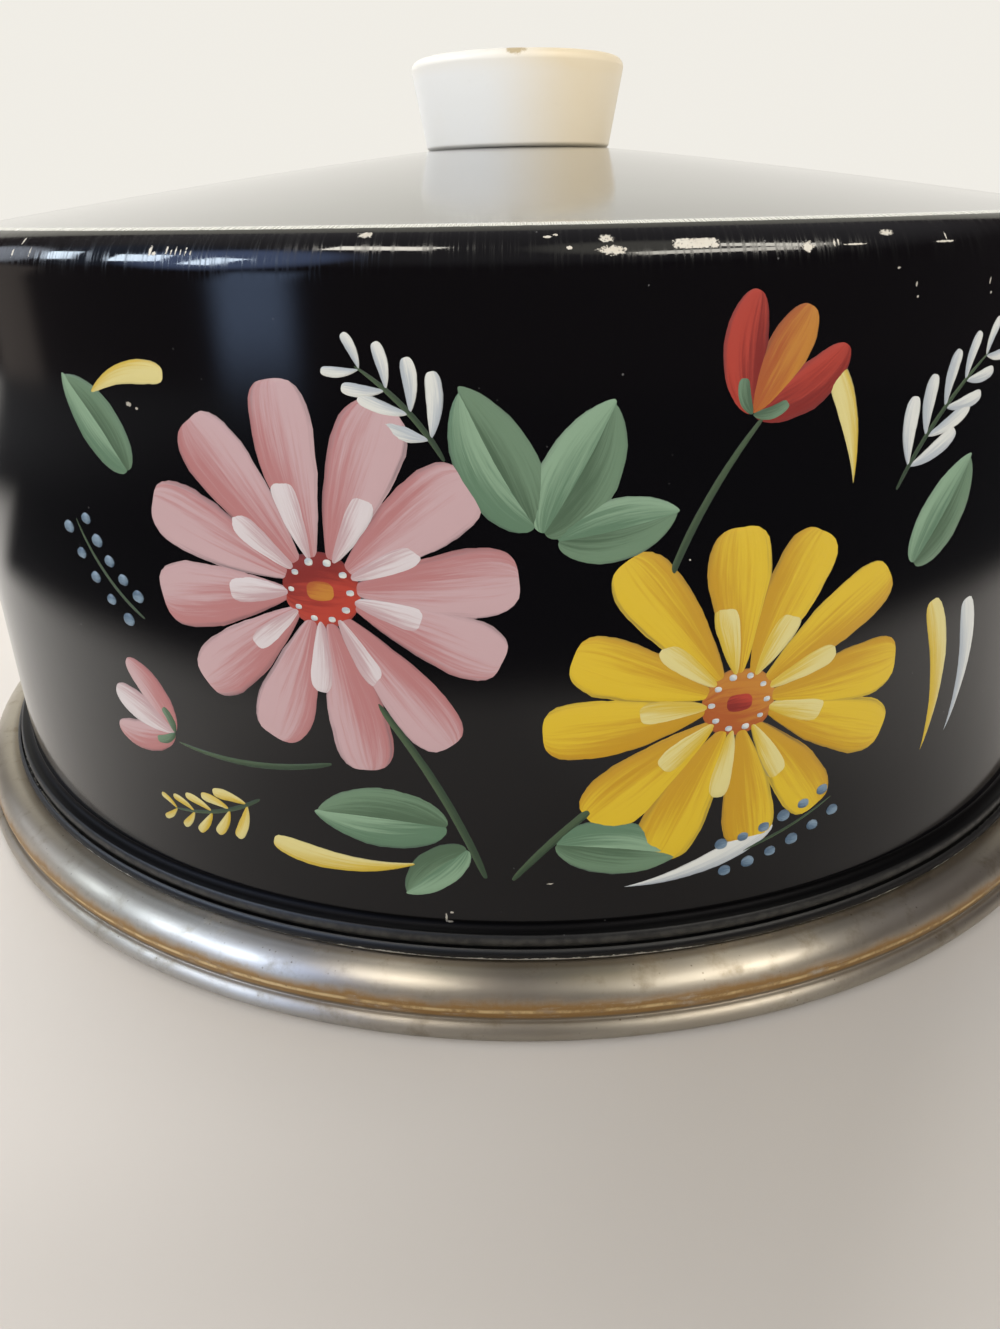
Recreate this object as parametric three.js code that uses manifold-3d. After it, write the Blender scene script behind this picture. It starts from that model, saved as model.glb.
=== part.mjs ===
// Cake tin: a black enamelled drum cover with a moulded knob, standing on a pressed tin tray.
// Millimetres, +Z up, with the origin on the table at the middle of the tray.
import * as THREE from 'three';
import { mergeVertices } from 'three/addons/utils/BufferGeometryUtils.js';
import Module from 'manifold-3d';

const wasm = await Module();
wasm.setup();

// Fineness of the round shapes
const sheetSides = 56;
const knobSides = 48;
const smallSides = 24;
const domeSteps = 6;
const shoulderSteps = 5;
const smallArcSteps = 3;
const halfCurlFacets = 5; // odd, so that one facet of a curl lies flat where it rests

// Coats of enamel or tin between two pieces that rest on each other
const coatGap = 0.2;

// Cover: a ten inch drum of sheet steel
const coverRadius = 127;
const coverSheet = 0.5;
const rimHeight = 110.2; // from the foot of the hem to the crest of the rim
const rimShoulderRadius = 7;
const rimValleyWidth = 2.6;
const rimValleyDepth = 0.35;
const domeRise = 12.4; // from the crest of the rim to the flat that carries the knob
const domeCurve = 1.22; // 1 is a straight cone, 2 a parabola
const knobFlatMargin = 1.8;
const beadHeight = 2.3;
const beadLead = 1.2; // height over which the wall turns out into the bead
const beadReach = 0.6; // beyond the neck between the bead and the curl
const beadNeckHeight = 0.8;
const hemStep = 2; // from the wall out to the neck
const hemCurlRadius = 1.1;
const hemCurlFacets = 7;

// Tray: an upturned pressing with a raised platform inside the cover
const traySheet = 0.6;
const trayRadius = 138.4;
const ledgeHeight = 10.2;
const ledgeMargin = 2; // ledge that shows outside the hem
const trayShoulderReach = 4.4;
const trayBellyHeight = 6.4; // of the shoulder's widest place
const trayTuckRadius = 5.1; // of the curve from there in to the crease
const trayCurlRadius = 1.85;
const trayCurlFacets = 7;
const creaseHeight = 0.4;
const platformRise = 5.2;
const platformClearance = 1.2;
const platformEdgeRadius = 2.6;
const platformFootRadius = 1.2;
const ringGrooveRadius = 92;
const ringGrooveWidth = 6;
const ringGrooveSlope = 1.5;
const ringGrooveDepth = 0.9;

// Knob: a hollow moulding, wider at its top
const knobFootRadius = 20.6;
const knobTopRadius = 23.5;
const knobHeight = 17.7;
const knobCrown = 0.2;
const crownShoulderShare = 0.75; // of the crown's rise, half way out to the knob's edge
const knobTopEdge = 1.9;
const knobFootEdge = 0.6;
const knobWall = 2.6;
const knobRoof = 3.4;
const bossWall = 2.6;
const ribCount = 6;
const ribThickness = 1.4;
const ribLift = 3; // from the knob's foot to the lower edge of a rib

// Fastening through the middle of the cover
const screwRadius = 2;
const screwGrip = 8; // thread engaged in the insert
const tipChamfer = 0.5;
const headRadius = 4;
const headHeight = 2.6;
const headEdge = 0.7;
const slotWidth = 1.1;
const slotDepth = 1.3;
const threadGap = 0.15;
const holeGap = 0.6;
const insertWall = 1.5;
const insertLength = 9.5;
const insertInset = 0.4; // from the knob's foot up to the insert
const insertGrooveDepth = 0.5;
const insertGrooveWidth = 2.4;
const pressGap = 0.1;
const washerRadius = 6;
const washerThickness = 1;
const lockWasherRadius = 3.9;
const lockWasherThickness = 1.1;
const lockWasherSplit = 0.8;
const lockWasherSkew = 0.5;

// Places that more than one piece shares
const screwHoleRadius = screwRadius + holeGap;
const knobFlatRadius = knobFootRadius + knobFlatMargin;
const coverFootHeight = ledgeHeight + coatGap;
const knobSeatHeight = rimHeight + domeRise;
const hemOuterRadius = coverRadius + hemStep - coverSheet + 2 * hemCurlRadius;
const platformRadius = coverRadius - coverSheet - platformClearance;
const insertRadius = screwRadius + threadGap + insertWall;
const curlFacetAngle = Math.PI / halfCurlFacets;

// Profiles are lists of (radius, height) points

function point(radius, height) {
  return new THREE.Vector2(radius, height);
}

function arc(centre, radii, fromAngle, toAngle, steps) {
  const curve = new THREE.EllipseCurve(
    centre.x, centre.y, radii.x, radii.y, fromAngle, toAngle, toAngle < fromAngle, 0);
  return curve.getPoints(steps);
}

function roundArc(centre, radius, fromAngle, toAngle, steps) {
  return arc(centre, point(radius, radius), fromAngle, toAngle, steps);
}

// Unit vector to the right of the way from one point to the next
function rightOf(from, to) {
  const way = to.clone().sub(from).normalize();
  return point(way.y, -way.x);
}

// The other face of a sheet: every stretch of the line moved square to itself by the thickness
function offsetLine(line, thickness) {
  return line.map((here, i) => {
    const before = i > 0 ? rightOf(line[i - 1], here) : rightOf(here, line[i + 1]);
    const after = i < line.length - 1 ? rightOf(here, line[i + 1]) : before;
    const across = before.clone().add(after).normalize();
    const reach = thickness / across.dot(after);
    return here.clone().addScaledVector(across, reach);
  });
}

// A pressed sheet follows a line on its upper face, from the middle out to the end of its curl
function sheetProfile(line, thickness) {
  const lower = offsetLine(line, thickness).reverse();
  const outline = [...line, ...lower];
  return line[0].x > 0 ? [...outline, line[0].clone()] : outline;
}

function revolve(profile, sides) {
  const upwards = [...profile].reverse();
  return new THREE.LatheGeometry(upwards, sides).rotateX(Math.PI / 2);
}

// Cuts and joins of closed meshes

function toSolid(geometry) {
  const bare = geometry.clone();
  bare.deleteAttribute('normal');
  bare.deleteAttribute('uv');
  const merged = mergeVertices(bare);
  const vertProperties = new Float32Array(merged.attributes.position.array);
  const triVerts = new Uint32Array(merged.index.array);
  const mesh = new wasm.Mesh({ numProp: 3, vertProperties, triVerts });
  mesh.merge();
  return new wasm.Manifold(mesh);
}

function toGeometry(solid) {
  const mesh = solid.getMesh();
  const geometry = new THREE.BufferGeometry();
  geometry.setAttribute('position', new THREE.BufferAttribute(mesh.vertProperties, 3));
  geometry.setIndex(new THREE.BufferAttribute(mesh.triVerts, 1));
  geometry.computeVertexNormals();
  return geometry;
}

// Finishes
const finishes = {
  enamel: { color: 0x141216, roughness: 0.12, metalness: 0 },
  tinplate: { color: 0xb7b0a2, roughness: 0.32, metalness: 1 },
  knobPlastic: { color: 0xe4dccb, roughness: 0.3, metalness: 0 },
  brass: { color: 0xc2a15a, roughness: 0.35, metalness: 1 },
  zincSteel: { color: 0xa9a9a6, roughness: 0.4, metalness: 1 },
};

function piece(name, geometry, finish) {
  const mesh = new THREE.Mesh(geometry, new THREE.MeshStandardMaterial(finishes[finish]));
  mesh.name = name;
  return mesh;
}

// Cover shell, from its screw hole out over the dome and down to the curled hem

function domeHeight(radius, valleyRadius) {
  const share = (radius / valleyRadius) ** domeCurve;
  const flatShare = (knobFlatRadius / valleyRadius) ** domeCurve;
  const valleyHeight = rimHeight - rimValleyDepth;
  return valleyHeight + (knobSeatHeight - valleyHeight) * (1 - share) / (1 - flatShare);
}

function domeLine(valleyRadius) {
  const line = [];
  for (let step = 0; step <= domeSteps; step += 1) {
    const radius = knobFlatRadius + (valleyRadius - knobFlatRadius) * step / domeSteps;
    line.push(point(radius, domeHeight(radius, valleyRadius)));
  }
  return line;
}

function coverLine() {
  const crestRadius = coverRadius - rimShoulderRadius;
  const shoulderCentre = point(crestRadius, rimHeight - rimShoulderRadius);
  const neckRadius = coverRadius + hemStep;
  const beadSweep = Math.PI / 3;
  const beadRadii = point(beadReach / (1 - Math.cos(beadSweep)), beadHeight / 2 / Math.sin(beadSweep));
  const innerCurlRadius = hemCurlRadius - coverSheet;
  const curlHeight = innerCurlRadius * Math.cos(curlFacetAngle / 2) + coverSheet;
  const curlCentre = point(neckRadius + innerCurlRadius, curlHeight);
  const curlEnd = Math.PI + hemCurlFacets * curlFacetAngle;
  const beadMiddle = curlHeight + beadNeckHeight + beadHeight / 2;
  const beadCentre = point(neckRadius + beadReach - beadRadii.x, beadMiddle);
  return [
    point(screwHoleRadius, knobSeatHeight),
    ...domeLine(crestRadius - rimValleyWidth),
    ...roundArc(shoulderCentre, rimShoulderRadius, Math.PI / 2, 0, shoulderSteps),
    point(coverRadius, beadMiddle + beadHeight / 2 + beadLead),
    ...arc(beadCentre, beadRadii, beadSweep, -beadSweep, smallArcSteps),
    ...roundArc(curlCentre, innerCurlRadius, Math.PI, curlEnd, hemCurlFacets),
  ];
}

function coverShell() {
  return piece('cover_shell', revolve(sheetProfile(coverLine(), coverSheet), sheetSides), 'enamel');
}

// Base tray, from the middle of its platform out over the ledge and down to the curled foot

function trayLine() {
  const platformHeight = ledgeHeight + platformRise;
  const grooveInner = ringGrooveRadius - ringGrooveWidth / 2;
  const grooveOuter = ringGrooveRadius + ringGrooveWidth / 2;
  const grooveFloor = platformHeight - ringGrooveDepth;
  const edgeCentre = point(platformRadius - platformEdgeRadius, platformHeight - platformEdgeRadius);
  const footCentre = point(platformRadius + platformFootRadius, ledgeHeight + platformFootRadius);
  const ledgeRadius = hemOuterRadius + ledgeMargin;
  const curlHeight = trayCurlRadius * Math.cos(curlFacetAngle / 2);
  const curlCentre = point(trayRadius - trayCurlRadius, curlHeight);
  const curlStart = Math.PI / 2 - curlFacetAngle / 2;
  const curlEnd = curlStart - trayCurlFacets * curlFacetAngle;
  const creaseFoot = curlHeight + trayCurlRadius;
  const bellyCentre = point(ledgeRadius, trayBellyHeight);
  const shoulderRadii = point(trayShoulderReach, ledgeHeight - trayBellyHeight);
  const tuckCentre = point(ledgeRadius + trayShoulderReach - trayTuckRadius, trayBellyHeight);
  const tuckAngle = Math.asin((trayBellyHeight - creaseFoot - creaseHeight) / trayTuckRadius);
  const creaseRadius = tuckCentre.x + trayTuckRadius * Math.cos(tuckAngle);
  return [
    point(0, platformHeight),
    point(grooveInner, platformHeight),
    point(grooveInner + ringGrooveSlope, grooveFloor),
    point(grooveOuter - ringGrooveSlope, grooveFloor),
    point(grooveOuter, platformHeight),
    ...roundArc(edgeCentre, platformEdgeRadius, Math.PI / 2, 0, smallArcSteps),
    ...roundArc(footCentre, platformFootRadius, Math.PI, 3 * Math.PI / 2, smallArcSteps - 1),
    ...arc(bellyCentre, shoulderRadii, Math.PI / 2, 0, shoulderSteps),
    point(creaseRadius, creaseFoot + creaseHeight),
    point(creaseRadius, creaseFoot),
    ...roundArc(curlCentre, trayCurlRadius, curlStart, curlEnd, trayCurlFacets),
  ];
}

function baseTray() {
  return piece('base_tray', revolve(sheetProfile(trayLine(), traySheet), sheetSides), 'tinplate');
}

// Knob, hollow underneath, with a boss for the insert and ribs from the boss to the wall

const knobSlope = (knobTopRadius - knobFootRadius) / knobHeight;
const bossHoleRadius = insertRadius + pressGap;
const bossHoleDepth = insertInset + insertLength + coatGap;
const bossRadius = bossHoleRadius + bossWall;
const roofHeight = knobHeight - knobRoof;

function knobSide(height) {
  return knobFootRadius + knobSlope * height;
}

function knobProfile() {
  const topEdgeCentre = point(knobSide(knobHeight) - knobTopEdge, knobHeight - knobTopEdge);
  return [
    point(0, knobHeight + knobCrown),
    point(topEdgeCentre.x / 2, knobHeight + knobCrown * crownShoulderShare),
    ...roundArc(topEdgeCentre, knobTopEdge, Math.PI / 2, 0, smallArcSteps),
    point(knobSide(knobFootEdge), knobFootEdge),
    point(knobFootRadius - knobFootEdge, 0),
    point(knobFootRadius - knobWall, 0),
    point(knobSide(roofHeight) - knobWall, roofHeight),
    point(bossRadius, roofHeight),
    point(bossRadius, 0),
    point(bossHoleRadius, 0),
    point(bossHoleRadius, bossHoleDepth),
    point(0, bossHoleDepth),
  ];
}

function knobRib() {
  const innerEnd = bossRadius - bossWall / 2;
  const top = roofHeight + knobRoof / 2;
  const midWall = (height) => knobSide(height) - knobWall / 2;
  const outline = new THREE.Shape([
    point(innerEnd, ribLift),
    point(midWall(ribLift), ribLift),
    point(midWall(top), top),
    point(innerEnd, top),
  ]);
  const blade = new THREE.ExtrudeGeometry(outline, { depth: ribThickness, bevelEnabled: false });
  return blade.translate(0, 0, -ribThickness / 2).rotateX(Math.PI / 2);
}

function lidKnob() {
  let solid = toSolid(revolve(knobProfile(), knobSides));
  for (let rib = 0; rib < ribCount; rib += 1) {
    solid = solid.add(toSolid(knobRib().rotateZ(rib * 2 * Math.PI / ribCount)));
  }
  return piece('lid_knob', toGeometry(solid), 'knobPlastic');
}

// Threaded bush in the knob's boss, with a groove that holds it there

function knobInsert() {
  const bore = screwRadius + threadGap;
  const waist = insertRadius - insertGrooveDepth;
  const grooveFoot = (insertLength - insertGrooveWidth) / 2;
  const grooveHead = grooveFoot + insertGrooveWidth;
  const profile = [
    point(bore, insertLength),
    point(insertRadius, insertLength),
    point(insertRadius, grooveHead),
    point(waist, grooveHead),
    point(waist, grooveFoot),
    point(insertRadius, grooveFoot),
    point(insertRadius, 0),
    point(bore, 0),
    point(bore, insertLength),
  ];
  const bush = piece('knob_insert', revolve(profile, smallSides), 'brass');
  bush.position.z = insertInset;
  return bush;
}

// Screw and washers, each placed by the height of its upper face below the cover's sheet

const flatWasherTop = -coverSheet - coatGap;
const lockWasherTop = flatWasherTop - washerThickness - coatGap;
const screwHeadTop = lockWasherTop - lockWasherThickness - coatGap;

function knobScrew() {
  const tip = insertInset + screwGrip - screwHeadTop;
  const headEdgeCentre = point(headRadius - headEdge, headEdge - headHeight);
  const profile = [
    point(0, tip),
    point(screwRadius - tipChamfer, tip),
    point(screwRadius, tip - tipChamfer),
    point(screwRadius, 0),
    point(headRadius, 0),
    ...roundArc(headEdgeCentre, headEdge, 0, -Math.PI / 2, smallArcSteps),
    point(0, -headHeight),
  ];
  const overrun = headRadius;
  const slot = new THREE.BoxGeometry(2 * (headRadius + overrun), slotWidth, slotDepth + overrun);
  slot.translate(0, 0, slotDepth - headHeight - (slotDepth + overrun) / 2);
  const solid = toSolid(revolve(profile, smallSides)).subtract(toSolid(slot));
  const screw = piece('knob_screw', toGeometry(solid), 'zincSteel');
  screw.position.z = screwHeadTop;
  return screw;
}

function flatWasher() {
  const profile = [
    point(screwHoleRadius, 0),
    point(washerRadius, 0),
    point(washerRadius, -washerThickness),
    point(screwHoleRadius, -washerThickness),
    point(screwHoleRadius, 0),
  ];
  const washer = piece('flat_washer', revolve(profile, smallSides), 'zincSteel');
  washer.position.z = flatWasherTop;
  return washer;
}

function lockWasher() {
  const bore = screwRadius + threadGap;
  const outerGap = lockWasherSplit / lockWasherRadius;
  const innerGap = lockWasherSplit / bore;
  const skew = lockWasherSkew / lockWasherRadius;
  const ring = new THREE.Shape();
  ring.absarc(0, 0, lockWasherRadius, skew + outerGap / 2, skew - outerGap / 2 + 2 * Math.PI, false);
  ring.absarc(0, 0, bore, 2 * Math.PI - innerGap / 2, innerGap / 2, true);
  const settings = { depth: lockWasherThickness, bevelEnabled: false, curveSegments: smallSides / 2 };
  const washer = piece('lock_washer', new THREE.ExtrudeGeometry(ring, settings), 'zincSteel');
  washer.position.z = lockWasherTop - lockWasherThickness;
  return washer;
}

// Assembly

const knobFastening = new THREE.Group();
knobFastening.add(knobScrew(), flatWasher(), lockWasher());
knobFastening.position.z = knobSeatHeight;

const knob = new THREE.Group();
knob.add(lidKnob(), knobInsert());
knob.position.z = knobSeatHeight + coatGap;

const cover = new THREE.Group();
cover.add(coverShell(), knob, knobFastening);
cover.position.z = coverFootHeight;

const cakeTin = new THREE.Group();
cakeTin.add(baseTray(), cover);

export default cakeTin;
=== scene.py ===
import math
import random

import bpy
from mathutils import Matrix, Vector


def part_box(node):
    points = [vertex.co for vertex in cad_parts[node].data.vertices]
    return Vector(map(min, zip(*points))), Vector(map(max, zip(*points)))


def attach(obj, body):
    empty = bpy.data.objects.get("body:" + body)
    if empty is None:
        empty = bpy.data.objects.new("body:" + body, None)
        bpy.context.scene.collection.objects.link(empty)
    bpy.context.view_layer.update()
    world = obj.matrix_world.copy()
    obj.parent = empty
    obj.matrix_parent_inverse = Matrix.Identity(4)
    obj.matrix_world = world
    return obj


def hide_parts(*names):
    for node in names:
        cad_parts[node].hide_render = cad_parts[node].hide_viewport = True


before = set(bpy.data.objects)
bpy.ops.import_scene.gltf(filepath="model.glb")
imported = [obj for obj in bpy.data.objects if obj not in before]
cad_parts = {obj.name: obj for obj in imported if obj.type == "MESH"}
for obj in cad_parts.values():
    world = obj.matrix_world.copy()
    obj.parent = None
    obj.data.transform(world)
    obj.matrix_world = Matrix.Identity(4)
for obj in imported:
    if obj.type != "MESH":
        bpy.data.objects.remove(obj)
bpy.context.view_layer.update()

scene = bpy.context.scene
mm = 0.001


# Nodes of shader and geometry trees

class Signal:
    """One output of a node. Arithmetic on it adds Math nodes to its tree."""

    def __init__(self, graph, node, output=0):
        self.graph = graph
        self.node = node
        self.socket = node.outputs[output] if len(node.outputs) else None

    def output(self, name):
        return Signal(self.graph, self.node, name)

    def __add__(self, other):
        return self.graph.maths("ADD", self, other)

    def __sub__(self, other):
        return self.graph.maths("SUBTRACT", self, other)

    def __rsub__(self, other):
        return self.graph.maths("SUBTRACT", other, self)

    def __mul__(self, other):
        return self.graph.maths("MULTIPLY", self, other)

    def __truediv__(self, other):
        return self.graph.maths("DIVIDE", self, other)

    def __rtruediv__(self, other):
        return self.graph.maths("DIVIDE", other, self)

    def __pow__(self, other):
        return self.graph.maths("POWER", self, other)

    def __neg__(self):
        return self.graph.maths("MULTIPLY", self, -1)

    __radd__ = __add__
    __rmul__ = __mul__


class Graph:
    """Adds nodes to one node tree."""

    def __init__(self, tree):
        self.tree = tree
        tree.nodes.clear()

    def node(self, kind, settings=None, inputs=None):
        made = self.tree.nodes.new(kind)
        for name, value in (settings or {}).items():
            setattr(made, name, value)
        for name, value in (inputs or {}).items():
            if isinstance(value, Signal):
                self.tree.links.new(value.socket, made.inputs[name])
            else:
                made.inputs[name].default_value = value
        return Signal(self, made)

    def maths(self, operation, *values):
        return self.node("ShaderNodeMath", {"operation": operation}, dict(enumerate(values)))

    def smooth(self, value, low, high):
        """0 below low and 1 above high, or the other way round, with a smooth step between."""
        ends = {0: value, 1: low, 2: high}
        return self.node("ShaderNodeMapRange", {"interpolation_type": "SMOOTHSTEP"}, ends)

    def noise(self, place, scale, detail, roughness=0.5):
        inputs = {"Vector": place, "Scale": scale, "Detail": detail, "Roughness": roughness}
        return self.node("ShaderNodeTexNoise", {}, inputs)

    def band(self, value, middle, outer, inner):
        """1 where the value is within inner of the middle, and 0 where it is beyond outer."""
        return self.smooth(self.maths("ABSOLUTE", value - middle), outer, inner)

    def larger(self, first, second):
        return self.maths("MAXIMUM", first, second)

    def vector(self, x, y, z):
        return self.node("ShaderNodeCombineXYZ", {}, {0: x, 1: y, 2: z})

    def parts(self, vector):
        """The X, Y and Z of a vector."""
        split = self.node("ShaderNodeSeparateXYZ", {}, {0: vector})
        return [split.output(axis) for axis in "XYZ"]

    def blend(self, share, first, second, way="MIX"):
        settings = {"data_type": "RGBA", "blend_type": way}
        return self.node("ShaderNodeMix", settings, {0: share, 6: first, 7: second}).output(2)

    def shine(self, colour, strength=1.0):
        return self.node("ShaderNodeEmission", {}, {"Color": colour, "Strength": strength})

    def mix_shaders(self, share, first, second):
        return self.node("ShaderNodeMixShader", {}, {0: share, 1: first, 2: second})


class Finish(Graph):
    """A material with one Principled BSDF, and the places on the object that its patterns follow."""

    def __init__(self, name):
        self.material = bpy.data.materials.new(name)
        self.material.use_nodes = True
        super().__init__(self.material.node_tree)
        self.place = self.node("ShaderNodeTexCoord").output("Object")
        self.x, self.y, self.z = self.parts(self.place)
        self.radius = (self.x * self.x + self.y * self.y) ** 0.5
        self.angle = self.maths("ARCTAN2", self.x, -self.y)

    def attribute(self, name):
        return self.node("ShaderNodeAttribute", {"attribute_name": name})

    def spots(self, scale, size):
        """Small round spots with soft edges, 1 at their middle."""
        inputs = {"Vector": self.place, "Scale": scale}
        cells = self.node("ShaderNodeTexVoronoi", {"feature": "F1"}, inputs)
        return self.smooth(cells.output("Distance"), size, 0.4 * size)

    def patch(self, arc_place, height, half_length, half_height, corner, ragged):
        """A ragged patch on the drum, 1 inside it. Its corners are round at 2 and square at 6."""
        along = self.maths("ABSOLUTE", self.angle * wall_radius - arc_place) / half_length
        up = self.maths("ABSOLUTE", self.z - height) / half_height
        return self.smooth(along ** corner + up ** corner + ragged, 1.2, 0.8)

    def bump(self, height, depth, strength):
        inputs = {"Strength": strength, "Distance": depth, "Height": height}
        return self.node("ShaderNodeBump", {}, inputs)

    def finish(self, inputs):
        shader = self.node("ShaderNodeBsdfPrincipled", {}, inputs)
        self.node("ShaderNodeOutputMaterial", {}, {"Surface": shader})
        return self.material


def rgb(red, green, blue):
    return (red, green, blue, 1.0)


def add_object(name, data):
    made = bpy.data.objects.new(name, data)
    scene.collection.objects.link(made)
    return made


# Sizes that the frame gives

cover_low, cover_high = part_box("cover_shell")
tray_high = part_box("base_tray")[1]
knob_low, knob_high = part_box("lid_knob")

cover_foot = cover_low.z
knob_seat = cover_high.z
hem_outer_radius = cover_high.x
tray_radius = tray_high.x
platform_top = tray_high.z

# Sizes of the sheets and the knob, the same as in the solids

cover_sheet = 0.5 * mm
rim_shoulder_radius = 7 * mm
rim_height = cover_foot + 110.2 * mm
rim_valley_width = 2.6 * mm
rim_valley_depth = 0.35 * mm
dome_curve = 1.22
knob_flat_radius = 22.4 * mm
screw_hole_radius = 2.6 * mm
bead_height = 2.3 * mm
bead_lead = 1.2 * mm
bead_reach = 0.6 * mm
bead_neck_height = 0.8 * mm
hem_step = 2 * mm
hem_curl_radius = 1.1 * mm
hem_curl_turn = math.radians(252)
wall_radius = hem_outer_radius - hem_step + cover_sheet - 2 * hem_curl_radius
crest_radius = wall_radius - rim_shoulder_radius
neck_radius = wall_radius + hem_step
bead_middle = cover_foot + hem_curl_radius + bead_neck_height + bead_height / 2
hollow_middle = bead_middle + (bead_height + bead_lead) / 2

tray_sheet = 0.6 * mm
ledge_height = 10.2 * mm
ledge_margin = 2 * mm
tray_shoulder_reach = 4.4 * mm
tray_belly_height = 6.4 * mm
tray_tuck_radius = 5.1 * mm
tray_curl_radius = 1.85 * mm
tray_curl_turn = math.radians(252)
crease_height = 0.4 * mm
platform_clearance = 1.2 * mm
platform_edge_radius = 2.6 * mm
platform_foot_radius = 1.2 * mm
ring_groove_radius = 92 * mm
ring_groove_width = 6 * mm
ring_groove_slope = 1.5 * mm
ring_groove_depth = 0.9 * mm
platform_radius = wall_radius - cover_sheet - platform_clearance

knob_crown = 0.2 * mm
knob_foot_radius = 20.6 * mm
knob_top_edge = 1.9 * mm
knob_foot_edge = 0.6 * mm
knob_wall = 2.6 * mm
knob_roof = 3.4 * mm
boss_hole_radius = 3.75 * mm
boss_hole_depth = 10.1 * mm
boss_radius = boss_hole_radius + 2.6 * mm
rib_count = 6
rib_thickness = 1.4 * mm
rib_lift = 3 * mm
rib_overlap = 0.1 * mm

# Fineness

sheet_sides = 256
knob_sides = 128
facet_angle = math.radians(30)
weld_distance = 0.001 * mm


# Profiles are lists of (radius, height)

def arc(centre, radii, start, end, steps):
    points = []
    for step in range(steps + 1):
        angle = start + (end - start) * step / steps
        across = centre[0] + radii[0] * math.cos(angle)
        up = centre[1] + radii[1] * math.sin(angle)
        points.append(Vector((across, up)))
    return points


def round_arc(centre, radius, start, end, steps):
    return arc(centre, (radius, radius), start, end, steps)


def right_of(start, end):
    way = (end - start).normalized()
    return Vector((way.y, -way.x))


def ease_corners(line, reach):
    """The same line with each corner turned into a short curve that starts and ends at that reach."""
    least_turn = math.radians(14)
    steps = 4
    eased = [line[0]]
    for before, here, after in zip(line, line[1:], line[2:]):
        into = here - before
        out = after - here
        if into.angle(out, 0) < least_turn:
            eased.append(here)
            continue
        start = here - into.normalized() * min(reach, 0.45 * into.length)
        end = here + out.normalized() * min(reach, 0.45 * out.length)
        for step in range(steps + 1):
            t = step / steps
            eased.append(start * (1 - t) ** 2 + here * 2 * t * (1 - t) + end * t ** 2)
    eased.append(line[-1])
    return eased


def offset_line(line, thickness):
    """The other face of a sheet, every stretch moved square to itself by the thickness."""
    moved = []
    for index, here in enumerate(line):
        before = right_of(line[index - 1], here) if index > 0 else right_of(here, line[1])
        after = right_of(here, line[index + 1]) if index < len(line) - 1 else before
        across = (before + after).normalized()
        moved.append(here + across * (thickness / across.dot(after)))
    return moved


def dome_height(radius, valley_radius):
    valley_height = rim_height - rim_valley_depth
    share = (radius / valley_radius) ** dome_curve
    flat_share = (knob_flat_radius / valley_radius) ** dome_curve
    return valley_height + (knob_seat - valley_height) * (1 - share) / (1 - flat_share)


def cover_line():
    valley_radius = crest_radius - rim_valley_width
    dome_steps = 24
    dome = []
    for step in range(dome_steps + 1):
        radius = knob_flat_radius + (valley_radius - knob_flat_radius) * step / dome_steps
        dome.append(Vector((radius, dome_height(radius, valley_radius))))
    shoulder_centre = (crest_radius, rim_height - rim_shoulder_radius)
    sweep = math.pi / 3
    bead_radii = (bead_reach / (1 - math.cos(sweep)), bead_height / 2 / math.sin(sweep))
    path_radius = hem_curl_radius - cover_sheet
    curl_height = cover_foot + hem_curl_radius
    bead_centre = (neck_radius + bead_reach - bead_radii[0], bead_middle)
    curl_centre = (neck_radius + path_radius, curl_height)
    wall_foot = (neck_radius, bead_middle + bead_height / 2 + bead_lead)
    line = [
        Vector((screw_hole_radius, knob_seat)),
        *dome,
        *round_arc(shoulder_centre, rim_shoulder_radius, math.pi / 2, 0, 18),
        *arc(wall_foot, (hem_step, bead_lead), math.pi, 1.5 * math.pi, 10)[:-1],
        *arc(bead_centre, bead_radii, sweep, -sweep, 10),
        *round_arc(curl_centre, path_radius, math.pi, math.pi + hem_curl_turn, 22),
    ]
    return ease_corners(line, 0.6 * mm)


def tray_line():
    groove_inner = ring_groove_radius - ring_groove_width / 2
    groove_outer = ring_groove_radius + ring_groove_width / 2
    groove_floor = platform_top - ring_groove_depth
    edge_centre = (platform_radius - platform_edge_radius, platform_top - platform_edge_radius)
    foot_centre = (platform_radius + platform_foot_radius, ledge_height + platform_foot_radius)
    ledge_radius = hem_outer_radius + ledge_margin
    curl_centre = (tray_radius - tray_curl_radius, tray_curl_radius)
    curl_start = math.pi * 0.4
    crease_foot = 2 * tray_curl_radius - 0.1 * mm
    belly_radius = ledge_radius + tray_shoulder_reach
    shoulder_radii = (tray_shoulder_reach, ledge_height - tray_belly_height)
    tuck_centre = (belly_radius - tray_tuck_radius, tray_belly_height)
    tuck_angle = math.asin((tray_belly_height - crease_foot - crease_height) / tray_tuck_radius)
    tuck = round_arc(tuck_centre, tray_tuck_radius, 0, -tuck_angle, 6)
    line = [
        Vector((0, platform_top)),
        Vector((groove_inner, platform_top)),
        Vector((groove_inner + ring_groove_slope, groove_floor)),
        Vector((groove_outer - ring_groove_slope, groove_floor)),
        Vector((groove_outer, platform_top)),
        *round_arc(edge_centre, platform_edge_radius, math.pi / 2, 0, 8),
        *round_arc(foot_centre, platform_foot_radius, math.pi, 1.5 * math.pi, 6),
        *arc((ledge_radius, tray_belly_height), shoulder_radii, math.pi / 2, 0, 16),
        *tuck[1:],
        Vector((tuck[-1].x, crease_foot)),
        *round_arc(curl_centre, tray_curl_radius, curl_start, curl_start - tray_curl_turn, 26),
    ]
    return ease_corners(line, 0.4 * mm)


def knob_side(level):
    """The knob's radius at that height over its foot."""
    slope = (knob_high.x - knob_foot_radius) / (knob_high.z - knob_low.z - knob_crown)
    return knob_foot_radius + slope * level


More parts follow.
